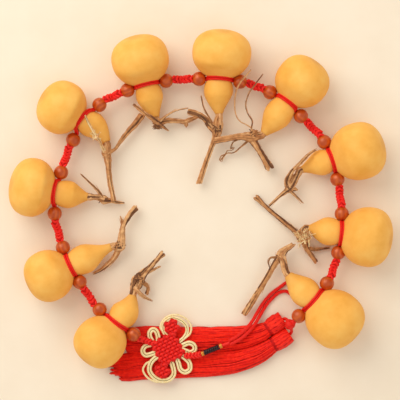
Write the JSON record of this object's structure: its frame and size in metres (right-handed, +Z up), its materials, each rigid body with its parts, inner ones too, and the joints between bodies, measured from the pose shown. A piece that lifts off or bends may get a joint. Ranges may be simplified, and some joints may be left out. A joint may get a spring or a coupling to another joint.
{
  "type": "string of dried bottle gourds",
  "caption": "Dried bottle gourds with their stalks, tied by the waists on a red cord with wooden beads, a woven knot, gold loops and tassels, laid in a ring.",
  "frame": {"origin": "middle of the laid-out string on the surface that it lies on", "axes": "+Z up from the surface, +Y from the tassels across the ring to the far gourds, +X from the woven knot towards the tassels' heads"},
  "size_m": [0.2646, 0.2449, 0.0398],
  "materials": {
    "gourd_skin": "smooth satin dried rind, amber yellow",
    "dry_stalk": "dull fibrous bark, cracked",
    "bead_wood": "polished and varnished",
    "red_cord": "braided satin cord",
    "gold_cord": "satin cord with a metallic thread",
    "gold_ring": "polished",
    "dark_thread": "wound glossy thread",
    "tassel_thread": "long silky threads"
  },
  "bodies": {
    "root": {"gourd_01": "gourd_skin", "gourd_02": "gourd_skin", "gourd_03": "gourd_skin", "gourd_04": "gourd_skin", "gourd_05": "gourd_skin", "gourd_06": "gourd_skin", "gourd_07": "gourd_skin", "gourd_08": "gourd_skin", "gourd_09": "gourd_skin", "gourd_10": "gourd_skin", "stalk_01": "dry_stalk", "stalk_02": "dry_stalk", "stalk_03": "dry_stalk", "stalk_04": "dry_stalk", "stalk_05": "dry_stalk", "stalk_06": "dry_stalk", "stalk_07": "dry_stalk", "stalk_08": "dry_stalk", "stalk_09": "dry_stalk", "stalk_10": "dry_stalk", "bead_01": "bead_wood", "bead_02": "bead_wood", "bead_03": "bead_wood", "bead_04": "bead_wood", "bead_05": "bead_wood", "bead_06": "bead_wood", "bead_07": "bead_wood", "bead_08": "bead_wood", "bead_09": "bead_wood", "bead_10": "bead_wood", "bead_11": "bead_wood", "bead_12": "bead_wood", "bead_13": "bead_wood", "bead_14": "bead_wood", "bead_15": "bead_wood", "bead_16": "bead_wood", "bead_17": "bead_wood", "bead_18": "bead_wood", "bead_19": "bead_wood", "bead_20": "bead_wood", "strand_cord": "red_cord", "woven_knot": "red_cord", "button_knot": "red_cord", "hanging_loop": "red_cord", "gold_loop_top": "gold_cord", "gold_loop_left_top": "gold_cord", "gold_loop_left_low": "gold_cord", "gold_loop_bottom": "gold_cord", "gold_loop_right_low": "gold_cord", "gold_loop_right": "gold_cord", "gold_ring_1": "gold_ring", "gold_ring_2": "gold_ring", "dark_wrap": "dark_thread", "tassel_head_1": "tassel_thread", "tassel_skirt_1": "tassel_thread", "tassel_head_2": "tassel_thread", "tassel_skirt_2": "tassel_thread"}
  },
  "joints": []
}
